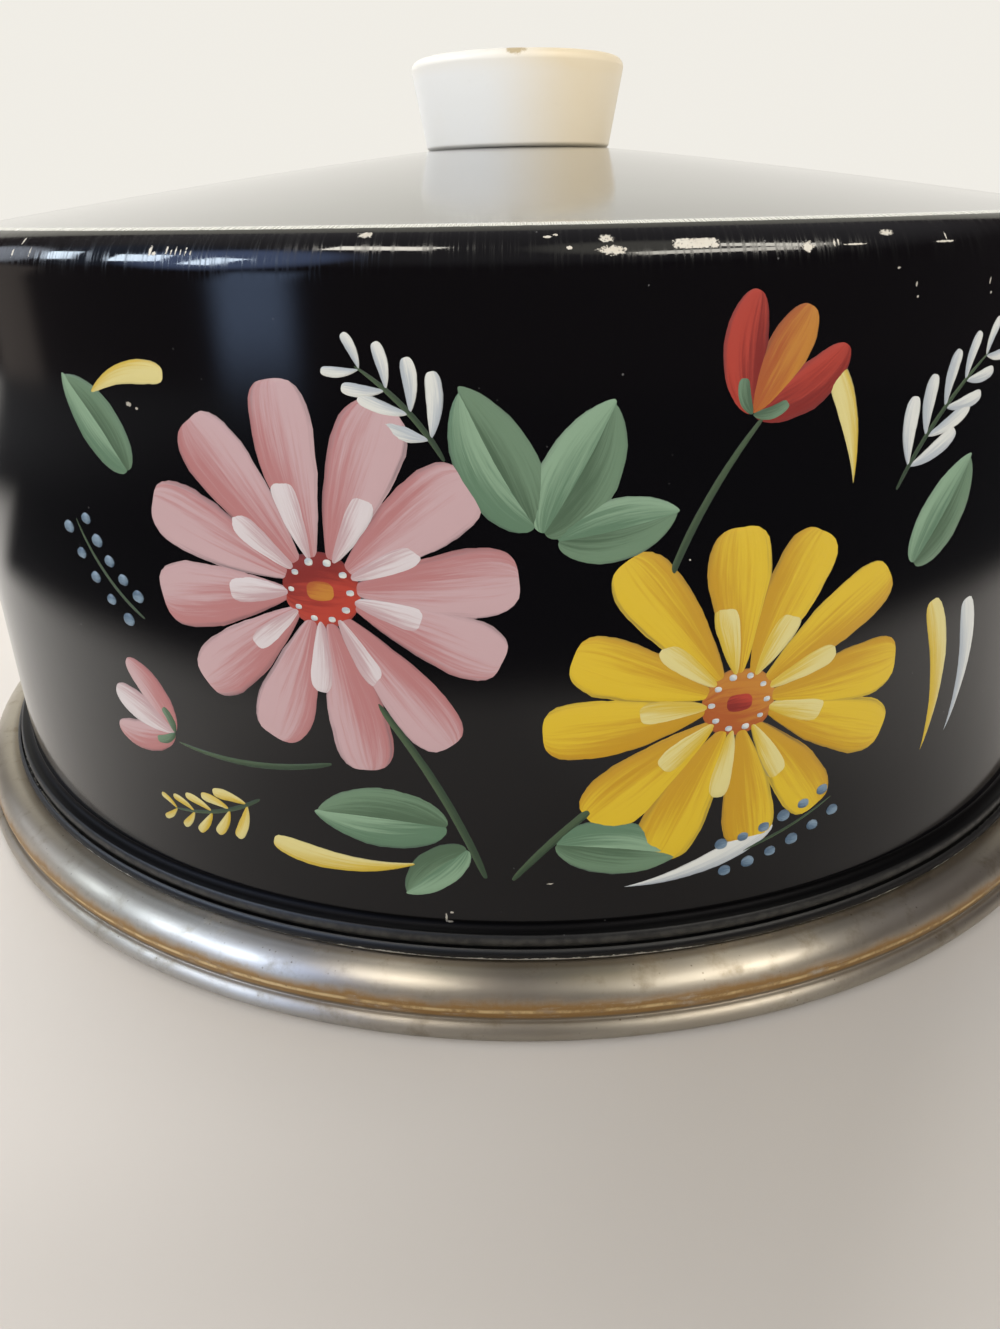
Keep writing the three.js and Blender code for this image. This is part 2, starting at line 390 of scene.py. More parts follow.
def knob_outline():
    foot = knob_low.z
    height = knob_high.z - foot - knob_crown
    roof = height - knob_roof
    edge_centre = (knob_side(height) - knob_top_edge, foot + height - knob_top_edge)
    crown = []
    crown_steps = 8
    for step in range(crown_steps):
        share = step / crown_steps
        crown.append(Vector((edge_centre[0] * share, knob_high.z - knob_crown * share ** 2)))
    line = [
        *crown,
        *round_arc(edge_centre, knob_top_edge, math.pi / 2, 0, 10),
        Vector((knob_side(knob_foot_edge), foot + knob_foot_edge)),
        Vector((knob_foot_radius - knob_foot_edge, foot)),
        Vector((knob_foot_radius - knob_wall, foot)),
        Vector((knob_side(roof) - knob_wall, foot + roof)),
        Vector((boss_radius, foot + roof)),
        Vector((boss_radius, foot)),
        Vector((boss_hole_radius, foot)),
        Vector((boss_hole_radius, foot + boss_hole_depth)),
        Vector((0, foot + boss_hole_depth)),
    ]
    return ease_corners(line, 0.3 * mm)


# Geometry Nodes trees

def new_tree(name, sockets):
    """A geometry tree, its graph and its input node, with the named inputs given as {name: socket type}."""
    tree = bpy.data.node_groups.new(name, "GeometryNodeTree")
    tree.interface.new_socket("Geometry", in_out="INPUT", socket_type="NodeSocketGeometry")
    for label, kind in sockets.items():
        tree.interface.new_socket(label, in_out="INPUT", socket_type=kind)
    tree.interface.new_socket("Geometry", in_out="OUTPUT", socket_type="NodeSocketGeometry")
    graph = Graph(tree)
    return graph, graph.node("NodeGroupInput")


def close_tree(graph, geometry, material):
    whole = graph.node("GeometryNodeRealizeInstances", {}, {"Geometry": geometry})
    dressed = graph.node("GeometryNodeSetMaterial", {}, {"Geometry": whole, "Material": material})
    graph.node("NodeGroupOutput", {}, {"Geometry": dressed})
    return graph.tree


def named_value(graph, name, kind="FLOAT"):
    return graph.node("GeometryNodeInputNamedAttribute", {"data_type": kind}, {"Name": name})


def store(graph, geometry, name, value, kind="FLOAT"):
    settings = {"data_type": kind, "domain": "POINT"}
    inputs = {"Geometry": geometry, "Name": name, "Value": value}
    return graph.node("GeometryNodeStoreNamedAttribute", settings, inputs)


def value_at(graph, geometry, value, index, kind="FLOAT"):
    """The value that the geometry's point of that index has."""
    settings = {"data_type": kind, "domain": "POINT"}
    return graph.node("GeometryNodeSampleIndex", settings, {0: geometry, 1: value, 2: index})


def turned_form_tree():
    """Turns a closed profile, drawn as points in the XZ plane, round the Z axis."""
    graph, given = new_tree("turned form", {"Sides": "NodeSocketInt", "Finish": "NodeSocketMaterial"})
    profile = given.output("Geometry")
    counts = graph.node("GeometryNodeAttributeDomainSize", {"component": "MESH"}, {0: profile})
    points = counts.output("Point Count")
    columns = given.output("Sides") + 1
    sizes = {"Size X": 1.0, "Size Y": 1.0, "Vertices X": points + 1, "Vertices Y": columns}
    sheet = graph.node("GeometryNodeMeshGrid", {}, sizes)
    index = graph.node("GeometryNodeInputIndex")
    row = graph.maths("FLOOR", (index + 0.5) / columns)
    column = index - row * columns
    source = graph.maths("MODULO", row, points)
    corner = graph.node("GeometryNodeInputPosition")
    place = value_at(graph, profile, corner, source, "FLOAT_VECTOR")
    turn = column / given.output("Sides") * (2 * math.pi)
    spin = {"Vector": place, "Angle": turn}
    placed = graph.node("ShaderNodeVectorRotate", {"rotation_type": "Z_AXIS"}, spin)
    face_side = value_at(graph, profile, named_value(graph, "inner"), source)
    stored = store(graph, sheet, "inner_face", face_side)
    moved = graph.node("GeometryNodeSetPosition", {}, {"Geometry": stored, "Position": placed})
    joined = graph.node("GeometryNodeMergeByDistance", {}, {"Geometry": moved, "Distance": weld_distance})
    smooth = graph.node("GeometryNodeSetShadeSmooth", {"domain": "FACE"}, {"Geometry": joined})
    bend = graph.node("GeometryNodeInputMeshEdgeAngle").output("Unsigned Angle")
    sharp = {"Geometry": smooth, "Selection": graph.maths("GREATER_THAN", bend, facet_angle)}
    sharp["Shade Smooth"] = False
    edged = graph.node("GeometryNodeSetShadeSmooth", {"domain": "EDGE"}, sharp)
    return close_tree(graph, edged, given.output("Finish"))


def round_array_tree():
    """Repeats a piece round the Z axis."""
    graph, given = new_tree("round array", {"Count": "NodeSocketInt", "Finish": "NodeSocketMaterial"})
    places = graph.node("GeometryNodePoints", {}, {"Count": given.output("Count")})
    index = graph.node("GeometryNodeInputIndex")
    turn = graph.vector(0.0, 0.0, index / given.output("Count") * (2 * math.pi))
    pattern = {"Points": places, "Instance": given.output("Geometry"), "Rotation": turn}
    copies = graph.node("GeometryNodeInstanceOnPoints", {}, pattern)
    return close_tree(graph, copies, given.output("Finish"))


def brush_stroke_tree():
    """Lays a strip of thick paint on a drum for each point, bent and tapered as the point's values say."""
    sockets = {
        "Across": "NodeSocketInt",
        "Along": "NodeSocketInt",
        "Wall Radius": "NodeSocketFloat",
        "Paint Thickness": "NodeSocketFloat",
        "Layer Height": "NodeSocketFloat",
        "Edge Wobble": "NodeSocketFloat",
        "Seed": "NodeSocketFloat",
        "Finish": "NodeSocketMaterial",
    }
    graph, given = new_tree("brush strokes", sockets)
    sizes = {"Size X": 2.0, "Size Y": 1.0}
    sizes["Vertices X"] = given.output("Across") + 1
    sizes["Vertices Y"] = given.output("Along") + 1
    patch = graph.node("GeometryNodeMeshGrid", {}, sizes)
    side, length_share = graph.parts(graph.node("GeometryNodeInputPosition"))[:2]
    crowded = 0.5 - 0.5 * graph.maths("COSINE", (length_share + 0.5) * math.pi)
    strip = store(graph, patch, "brush", graph.vector(side, crowded, 0.0), "FLOAT_VECTOR")
    points = graph.node("GeometryNodeMeshToPoints", {}, {"Mesh": given.output("Geometry")})
    copies = graph.node("GeometryNodeInstanceOnPoints", {}, {"Points": points, "Instance": strip})
    strips = graph.node("GeometryNodeRealizeInstances", {}, {"Geometry": copies})

    across, along = graph.parts(named_value(graph, "brush", "FLOAT_VECTOR"))[:2]
    length = named_value(graph, "length")
    bend = named_value(graph, "bend")
    turn = named_value(graph, "turn")
    number = named_value(graph, "number")
    hand = graph.vector(along * 3, across * 0.6, number * 0.731 + given.output("Seed"))
    wobble = 1 + (graph.noise(hand, 1.6, 2.0) - 0.5) * given.output("Edge Wobble")
    taper = along ** named_value(graph, "root_taper") * (1 - along) ** named_value(graph, "tip_taper")
    half_width = named_value(graph, "half_width") * taper * wobble
    heading = bend * along
    sine = graph.maths("SINE", heading)
    cosine = graph.maths("COSINE", heading)
    forward = length * sine / bend - across * half_width * sine
    sideways = length * (1 - cosine) / bend + across * half_width * cosine
    turn_sine = graph.maths("SINE", turn)
    turn_cosine = graph.maths("COSINE", turn)
    round_wall = named_value(graph, "root_arc") + forward * turn_cosine - sideways * turn_sine
    height = named_value(graph, "root_height") + forward * turn_sine + sideways * turn_cosine
    body = (1 - across ** 4) * (1 - (along * 2 - 1) ** 8)
    coat = given.output("Paint Thickness") + given.output("Layer Height") * named_value(graph, "layer")
    radius = given.output("Wall Radius") + coat * (body * 1.2 - 0.2)
    angle = round_wall / given.output("Wall Radius")
    wrapped_x = radius * graph.maths("SINE", angle)
    wrapped_y = -(radius * graph.maths("COSINE", angle))
    wrapped = graph.vector(wrapped_x, wrapped_y, height)
    laid = graph.node("GeometryNodeSetPosition", {}, {"Geometry": strips, "Position": wrapped})
    smooth = graph.node("GeometryNodeSetShadeSmooth", {"domain": "FACE"}, {"Geometry": laid})
    return close_tree(graph, smooth, given.output("Finish"))


def grow(name, mesh, tree, values):
    """An object whose plain mesh is what the geometry tree makes of the given mesh."""
    seed = add_object(name + "_seed", mesh)
    modifier = seed.modifiers.new("form", "NODES")
    modifier.node_group = tree
    for item in tree.interface.items_tree:
        if item.item_type == "SOCKET" and item.in_out == "INPUT" and item.name in values:
            modifier[item.identifier] = values[item.name]
    depsgraph = bpy.context.evaluated_depsgraph_get()
    grown = bpy.data.meshes.new_from_object(seed.evaluated_get(depsgraph), depsgraph=depsgraph)
    seed.modifiers.remove(modifier)
    bpy.data.objects.remove(seed)
    grown.name = name
    return add_object(name, grown)


def profile_mesh(name, upper, lower):
    """The closed profile as a ring of edges, with 1 in its attribute inner on the lower face."""
    outline = upper + lower
    mesh = bpy.data.meshes.new(name)
    edges = [(i, (i + 1) % len(outline)) for i in range(len(outline))]
    mesh.from_pydata([(p.x, 0, p.y) for p in outline], edges, [])
    inner = mesh.attributes.new("inner", "FLOAT", "POINT")
    inner.data.foreach_set("value", [0.0] * len(upper) + [1.0] * len(lower))
    return mesh


turned_form = turned_form_tree()


def turned_piece(name, upper, lower, sides, material):
    values = {"Sides": sides, "Finish": material}
    return grow(name, profile_mesh(name + "_profile", upper, lower), turned_form, values)


def turned_sheet(name, line, thickness, sides, material):
    lower = offset_line(line, thickness)
    lower.reverse()
    return turned_piece(name, line, lower, sides, material)


# Finishes of metal and plastic

# The middle of the chip in the knob's top edge

knob_chip = (-0.3 * mm, -22.6 * mm, knob_high.z - 0.9 * mm)

# Chips in the enamel of the shoulder, in millimetres: arc to the right of the front, depth under the rim,
# half the length, half the height, and how square the corners are

shoulder_chips = (
    (10.9, 1.9, 0.75, 0.38, 2),
    (11.6, 3.2, 1.6, 0.44, 2),
    (6.2, 2.8, 0.32, 0.17, 2),
    (22.1, 2.65, 2.85, 0.54, 6),
    (37.1, 3.4, 0.72, 0.52, 2),
    (41.0, 3.05, 0.15, 0.42, 2),
    (41.6, 3.0, 0.11, 0.34, 2),
    (44.2, 3.3, 1.4, 0.10, 2),
    (49.5, 2.1, 0.95, 0.30, 2),
    (58.9, 3.4, 1.6, 0.12, 2),
    (-50.3, 2.7, 0.22, 0.55, 2),
    (-49.6, 3.0, 0.3, 0.22, 2),
    (-47.6, 2.6, 0.14, 0.42, 2),
    (-46.8, 2.8, 0.11, 0.34, 2),
    (-46.1, 2.7, 0.12, 0.42, 2),
    (-45.3, 2.85, 0.1, 0.28, 2),
    (-44.5, 2.75, 0.12, 0.38, 2),
    (-43.7, 2.9, 0.1, 0.24, 2),
    (-19.6, 1.1, 0.85, 0.26, 2),
    (-74.4, 2.9, 0.12, 0.5, 2),
    (-77.4, 1.6, 0.16, 0.4, 2),
    (-78.8, 3.2, 0.2, 0.5, 2),
    (3.6, 1.6, 0.5, 0.12, 2),
    (4.6, 1.4, 0.25, 0.1, 2),
    (59.3, 2.7, 0.1, 0.45, 2),
)

# Nicks in the enamel of the wall, in millimetres: arc, height over the table, half the length, half the
# height

wall_nicks = (
    (-12.9, 16.2, 0.16, 0.75),
    (-12.3, 15.5, 0.45, 0.16),
    (-11.9, 17.3, 0.3, 0.2),
    (4.2, 23.4, 0.5, 0.12),
    (-57.4, 97.9, 0.5, 0.3),
    (-56.0, 97.4, 0.3, 0.2),
    (50.7, 114.3, 0.22, 0.14),
    (54.0, 112.2, 0.14, 0.3),
    (54.5, 110.6, 0.18, 0.14),
    (68.0, 112.0, 0.14, 0.4),
    (68.6, 110.4, 0.16, 0.16),
    (23.6, 77.4, 0.14, 0.12),
)


def enamel():
    """Black stoving enamel, chipped on the shoulder and worn to the metal on the rim's crest and the hem.
    The crest's worn line is also a painted highlight, the dome and the bead are dusty with a painted sheen,
    and the hollow over the bead holds painted shade.
    """
    black = Finish("black_enamel")
    wide = black.noise(black.place, 9.0, 3.0)
    grit = black.noise(black.place, 700.0, 3.0, 0.6)
    fine = black.noise(black.place, 900.0, 2.0)
    reach_in = black.attribute("inner_face").output("Fac") * (neck_radius - black.radius)
    outer = black.smooth(reach_in, 0.5 * mm, 0.1 * mm)
    inside = 1 - outer
    dome = black.smooth(black.radius, crest_radius + 2 * mm, crest_radius - 2 * mm)
    dome = dome * black.smooth(black.z, rim_height - 2 * mm, rim_height) * outer
    shoulder = black.smooth(black.z, rim_height - 7 * mm, rim_height - 4 * mm) * (1 - dome) * outer
    # Greyer on the dome: a dusty film together with a painted sheen that lifts the top's reflection
    dome_dust_and_sheen = dome * black.smooth(black.noise(black.place, 60.0, 4.0, 0.7), 0.35, 0.7)
    specks = black.spots(260.0, 0.05) * black.smooth(black.noise(black.place, 14.0, 2.0), 0.5, 0.7)

    # Worn metal on the rim's crest, made light as well to stand for the bright reflected line along the rim:
    # real wear and a painted highlight
    crest_level = black.z + (grit - 0.5) * (0.1 * mm)
    crest_wear_and_highlight = black.smooth(crest_level, rim_height - 0.36 * mm, rim_height - 0.28 * mm)
    crest_wear_and_highlight = crest_wear_and_highlight * black.smooth(black.radius, crest_radius - 0.5 * mm, crest_radius)
    dull = black.smooth(black.z, bead_middle + 2.6 * mm, bead_middle + 2.0 * mm) * outer
    # Greyer band on the bead: dusty, together with a painted sheen where the bead catches light
    bead_dust_and_sheen = black.band(black.z, bead_middle, 1.1 * mm, 0.5 * mm)
    bead_dust_and_sheen = bead_dust_and_sheen * black.smooth(black.radius, neck_radius, neck_radius + 0.3 * mm)
    bead_dust_and_sheen = bead_dust_and_sheen * (0.45 + 0.55 * black.smooth(grit, 0.35, 0.62))
    # Painted shade in the hollow over the bead: it is made metal of the black colour, so it reflects almost
    # nothing and reads dark
    hollow_shade = black.band(black.z, hollow_middle, 0.85 * mm, 0.45 * mm) * outer
    hem_chips = black.noise(black.place, 700.0, 4.0, 0.7) - 0.5
    hem_stretches = black.smooth(black.noise(black.place, 30.0, 2.0), 0.42, 0.6)
    hem_level = black.z - cover_foot - hem_chips * (1.4 * mm) - hem_stretches * (0.35 * mm)
    hem_wear = black.smooth(hem_level, 0.55 * mm, 0.4 * mm)
    hem_wear = hem_wear * black.smooth(black.radius, neck_radius, neck_radius + 0.4 * mm)
    bare = black.larger(crest_wear_and_highlight, hem_wear) * outer

    ragged = (black.noise(black.place, 2600.0, 4.0, 0.75) - 0.5) * 7.0
    chips = black.spots(150.0, 0.07) * black.smooth(black.noise(black.place, 22.0, 2.0), 0.6, 0.7)
    for arc_place, depth, half_length, half_height, corner in shoulder_chips:
        place = (arc_place * mm, rim_height - depth * mm, half_length * mm, half_height * mm)
        chips = black.larger(chips, black.patch(*place, corner, ragged))
    chips = chips * shoulder
    for arc_place, height, half_length, half_height in wall_nicks:
        place = (arc_place * mm, height * mm, half_length * mm, half_height * mm)
        chips = black.larger(chips, black.patch(*place, 2, ragged * 0.6) * outer * 0.55)

    # The dome's dusty film with its painted sheen, and the specks, turn the black greyer
    colour = black.blend(dome_dust_and_sheen * 0.05 + specks * 0.25, rgb(0.0015, 0.0012, 0.0018), rgb(0.42, 0.41, 0.40))
    # The bead's dusty band with its painted sheen
    colour = black.blend(bead_dust_and_sheen, colour, rgb(0.034, 0.031, 0.026))
    primer = black.blend(grit, rgb(0.74, 0.70, 0.61), rgb(0.58, 0.51, 0.41))
    colour = black.blend(chips, colour, primer)
    # The crest's bare metal is lighter: a painted highlight on top of the wear
    metal = black.blend(crest_wear_and_highlight, rgb(0.55, 0.53, 0.47), rgb(0.84, 0.83, 0.76))
    colour = black.blend(black.larger(bare, inside), colour, metal)
    hairlines = black.noise(black.vector(black.angle * 330, black.z * 90, 0.0), 1.0, 2.0, 0.6)
    combed = black.smooth(hairlines, 0.42, 0.68) * shoulder
    gloss = 0.08 + wide * 0.05 + dome * 0.07 - shoulder * 0.07 + combed * 0.2 + dull * 0.34 + fine * 0.02
    wave = black.noise(black.place, 26.0, 1.0)
    height = wave + fine * 0.01 + combed * 0.01 - chips * 0.25
    # The hollow's metal value is painted shade
    metallic = crest_wear_and_highlight * outer * 0.5 + hem_wear * 0.7 + hollow_shade * 0.85
    return black.finish({
        "Base Color": colour,
        "Roughness": gloss + inside * 0.25 + bare * 0.18 + chips * 0.4,
        "Metallic": black.larger(metallic, inside),
        "Coat Weight": dome,
        "Coat Roughness": 0.12,
        "Normal": black.bump(height, 0.35 * mm, 0.35),
    })


def tinplate():
    """Old satin tinplate, with drawing lines, stains, pits, a golden rusty line above the crease of its foot
    that is also a painted highlight, and painted shade in the crease and on the ledge by the cover's hem.
    """
    rust_middle = 5.9 * mm
    crease_middle = 4.0 * mm
    tin = Finish("tinned_steel")
    lines = tin.noise(tin.vector(tin.x * 6, tin.y * 6, (tin.z + tin.radius) * 900), 1.0, 3.0, 0.6)
    cloud = tin.noise(tin.place, 45.0, 4.0, 0.65)
    blots = tin.noise(tin.place, 170.0, 5.0, 0.7)
    streaks = tin.noise(tin.vector(tin.angle * 9, tin.z * 900, 0.0), 1.0, 4.0, 0.7)
    outside = tin.smooth(tin.radius, hem_outer_radius + 1 * mm, hem_outer_radius + 3 * mm)
    drift = (cloud - 0.5) * (3 * mm) + (blots - 0.5) * (3 * mm)
    film = tin.smooth(tin.z + drift, 8.6 * mm, 6.6 * mm) * tin.smooth(tin.z, 3.9 * mm, 4.3 * mm) * outside
    rust_level = tin.z + (cloud - 0.5) * (0.8 * mm)
    # Golden line above the crease: rusty, and painted lighter than the tin as a highlight
    rust_and_highlight = tin.band(rust_level, rust_middle, 0.55 * mm, 0.1 * mm) * outside * tin.smooth(blots, 0.38, 0.6)
    # Painted shade: darker along the crease and on the ledge next to the cover's hem
    crease_shade = tin.band(tin.z, crease_middle, 0.7 * mm, 0.1 * mm) * outside
    ledge_shade = tin.smooth(tin.radius, hem_outer_radius + 1.9 * mm, hem_outer_radius + 0.5 * mm)
    ledge_shade = ledge_shade * tin.smooth(tin.radius, hem_outer_radius - 4 * mm, hem_outer_radius - 1 * mm)
    grime_and_shade = crease_shade * 0.8 + ledge_shade * 0.55
    stains = tin.smooth(blots + (cloud - 0.5) * 0.6, 0.5, 0.75) * 0.6
    curl = tin.smooth(tin.z, crease_middle, 3.4 * mm) * outside
    pits = tin.spots(520.0, 0.12) * tin.smooth(cloud, 0.4, 0.6)
    clean = tin.blend(cloud, rgb(0.47, 0.41, 0.33), rgb(0.62, 0.58, 0.51))
    colour = tin.blend(stains, clean, rgb(0.34, 0.27, 0.18))
    broken_film = film * tin.smooth(blots + streaks * 0.7, 0.45, 0.85)
    colour = tin.blend(broken_film, colour, rgb(0.34, 0.195, 0.07))
    # The rusty golden line with its painted highlight
    colour = tin.blend(rust_and_highlight * 0.8, colour, rgb(0.78, 0.58, 0.30))
    # The painted shade of the crease and ledge, and the real pits, darken to this brown
    colour = tin.blend(grime_and_shade + pits * 0.6, colour, rgb(0.12, 0.08, 0.04))
    height = lines * 0.4 + cloud + blots * 0.3
    return tin.finish({
        "Base Color": colour,
        "Roughness": 0.30 + lines * 0.1 + stains * 0.2 + film * 0.1 + curl * 0.06,
        # The crease's painted shade also takes away part of the metal's reflection
        "Metallic": 0.97 - crease_shade * 0.5 - film * 0.35,
        "Anisotropic": 0.9,
        "Anisotropic Rotation": 0.25,
        "Normal": tin.bump(height, 0.05 * mm, 0.6),
    })


def knob_plastic():
    """Cream moulded plastic, yellowed on its right and round its top edge, with a chip in that edge. The
    chip is painted darker with soiling and painted shade, and painted shade darkens its foot.
    """
    cream = Finish("knob_plastic")
    drift = cream.noise(cream.place, 60.0, 3.0)
    grime_and_shade = cream.noise(cream.place, 700.0, 4.0, 0.65)
    side = cream.smooth(cream.x, -9 * mm, 15 * mm)
    rim = cream.smooth(cream.z, knob_high.z - 5 * mm, knob_high.z - 1.2 * mm)
    yellowing = side * 0.95 + rim * 0.2 + (drift - 0.5) * 0.3
    colour = cream.blend(yellowing, rgb(0.88, 0.875, 0.855), rgb(0.85, 0.71, 0.49))
    # Painted shade: darker round the knob's foot where it sits on the cover; the speckled darkening is real
    # soiling
    foot = cream.smooth(cream.z, knob_low.z + 1.0 * mm, knob_low.z + 0.2 * mm)
    foot_shade_and_dirt = foot * 0.3 + cream.smooth(grime_and_shade, 0.6, 0.8) * 0.06
    colour = cream.blend(foot_shade_and_dirt, colour, rgb(0.36, 0.28, 0.17))
    from_chip = [place - middle for place, middle in zip((cream.x, cream.y, cream.z), knob_chip)]
    chip_place = cream.vector(from_chip[0] * 0.6, from_chip[1], from_chip[2])
    chip_way = cream.node("ShaderNodeVectorMath", {"operation": "LENGTH"}, {0: chip_place})
    chip_level = chip_way.output("Value") + (grime_and_shade - 0.5) * (2.4 * mm)
    chip = cream.smooth(chip_level, 1.3 * mm, 0.8 * mm)
    # The chip is painted darker brown: soiling in the broken surface together with painted shade in its
    # hollow
    colour = cream.blend(chip * 0.9, colour, rgb(0.50, 0.38, 0.20))
    height = cream.noise(cream.place, 300.0, 2.0) * 0.2 - chip
    return cream.finish({
        "Base Color": colour,
        "Roughness": 0.34 + drift * 0.1 + chip * 0.3,
        "Normal": cream.bump(height, 0.12 * mm, 0.5),
    })


def turned_brass():
    brass = Finish("insert_brass")
    rings = brass.noise(brass.vector(0.0, 0.0, brass.z * 3000), 1.0, 2.0)
    tarnish = brass.noise(brass.place, 500.0, 3.0)
    colour = brass.blend(tarnish, rgb(0.62, 0.43, 0.17), rgb(0.40, 0.26, 0.10))
    return brass.finish({
        "Base Color": colour,
        "Roughness": 0.25 + rings * 0.2,
        "Metallic": 1.0,
        "Normal": brass.bump(rings, 0.02 * mm, 0.5),
    })


def zinc_steel():
    zinc = Finish("zinc_steel")
    bloom = zinc.noise(zinc.place, 700.0, 4.0, 0.65)
    rings = zinc.noise(zinc.vector(0.0, 0.0, zinc.radius * 4000), 1.0, 2.0)
    colour = zinc.blend(bloom, rgb(0.38, 0.38, 0.37), rgb(0.62, 0.61, 0.57))
    return zinc.finish({
        "Base Color": colour,
        "Roughness": 0.3 + bloom * 0.25,
        "Metallic": 1.0,
        "Normal": zinc.bump(rings + bloom, 0.02 * mm, 0.5),
    })


def flower_paint():
    """Oil enamel laid with a loaded brush: two colours in streaks, thin at the edges so the black shows."""
    paint = Finish("flower_paint")
    across, along = paint.parts(paint.attribute("brush").output("Vector"))[:2]
    number = paint.attribute("number").output("Fac")
    hair_place = paint.vector(across * 4 + number * 3.7, along * 0.8, number * 1.3)
    hairs = paint.noise(hair_place, 1.6, 4.0, 0.65)
    side = paint.attribute("loaded_side").output("Fac")
    fill = paint.noise(paint.vector(number * 1.7, 0.0, 0.0), 1.0, 0.0)
    load = hairs + (along - 0.5) * 0.4 + across * side * 0.3 + (fill - 0.5) * 0.5
    first = paint.attribute("first_load").output("Color")
    second = paint.attribute("second_load").output("Color")
    colour = paint.blend(paint.smooth(load, 0.28, 0.74), first, second)
    edge = paint.maths("ABSOLUTE", across)
    thin = paint.smooth(edge + (hairs - 0.5) * 0.7, 0.78, 1.15)
    colour = paint.blend(thin * 0.75, colour, rgb(0.02, 0.02, 0.03))
    ridges = hairs + paint.smooth(edge, 0.55, 0.85) * 0.3
    return paint.finish({
        "Base Color": colour,
        "Roughness": 0.32 + hairs * 0.2,
        "Normal": paint.bump(ridges, 0.06 * mm, 0.7),
    })


# Metal and plastic pieces

enamel_finish = enamel()
plastic_finish = knob_plastic()

cover = turned_sheet("cover_sheet", cover_line(), cover_sheet, sheet_sides, enamel_finish)
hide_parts("cover_shell")
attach(cover, "cover")

tray = turned_sheet("tray_sheet", tray_line(), tray_sheet, sheet_sides, tinplate())
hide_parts("base_tray")
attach(tray, "tray")

knob = turned_piece("knob_moulding", knob_outline(), [], knob_sides, plastic_finish)
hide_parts("lid_knob")
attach(knob, "cover")


def knob_rib():
    """One web between the knob's boss and its wall, along the X axis."""
    low = knob_low.z + rib_lift
    high = knob_high.z - knob_crown - knob_roof + rib_overlap
    inner = boss_radius - rib_overlap
    outer_low = knob_side(low - knob_low.z) - knob_wall + rib_overlap
    outer_high = knob_side(high - knob_low.z) - knob_wall + rib_overlap
    outline = ((inner, low), (outer_low, low), (outer_high, high), (inner, high))
    corners = []
    for side in (-0.5, 0.5):
        corners += [(across, side * rib_thickness, up) for across, up in outline]
    faces = [(0, 1, 2, 3), (7, 6, 5, 4), (1, 0, 4, 5), (2, 1, 5, 6), (3, 2, 6, 7), (0, 3, 7, 4)]
    mesh = bpy.data.meshes.new("knob_rib")
    mesh.from_pydata(corners, [], faces)
    return mesh


ribs = grow("knob_ribs", knob_rib(), round_array_tree(), {"Count": rib_count, "Finish": plastic_finish})
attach(ribs, "cover")

zinc_finish = zinc_steel()
for node, material in (
    ("knob_insert", turned_brass()),
    ("knob_screw", zinc_finish),
    ("lock_washer", zinc_finish),
    ("flat_washer", zinc_finish),
):
    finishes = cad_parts[node].data.materials
    finishes.clear()
    finishes.append(material)


# Painted flowers: a spray of common brush-stroke motifs, repeated three times round the drum.
# A place is (arc to the viewer's right of the spray's middle, height over the table).

spray_count = 3
spray_seed = 11
wobble_seed = 3.0
edge_wobble = 0.25
least_bend = 0.5
paint_thickness = 0.1 * mm
paint_layer_height = 0.05 * mm

stem_layer, leaf_layer, petal_layer, inner_layer, heart_layer, dot_layer = range(6)

dark_green = (rgb(0.025, 0.050, 0.025), rgb(0.055, 0.09, 0.04))
mint_dark = (rgb(0.06, 0.11, 0.06), rgb(0.12, 0.20, 0.12))
mint_light = (rgb(0.09, 0.17, 0.10), rgb(0.20, 0.31, 0.20))
rose = (rgb(0.38, 0.15, 0.15), rgb(0.46, 0.30, 0.31))
rose_light = (rgb(0.42, 0.28, 0.29), rgb(0.56, 0.50, 0.51))
yellow = (rgb(0.45, 0.24, 0.004), rgb(0.58, 0.39, 0.012))
yellow_light = (rgb(0.52, 0.36, 0.03), rgb(0.58, 0.50, 0.20))
white = (rgb(0.36, 0.39, 0.42), rgb(0.58, 0.58, 0.54))
red = (rgb(0.20, 0.010, 0.006), rgb(0.38, 0.030, 0.013))
orange = (rgb(0.34, 0.075, 0.008), rgb(0.44, 0.17, 0.013))
blue = (rgb(0.07, 0.12, 0.18), rgb(0.16, 0.23, 0.30))


def peak(root, tip):
    """The largest value of t ** root * (1 - t) ** tip between 0 and 1."""
    middle = root / (root + tip)
    return middle ** root * (1 - middle) ** tip


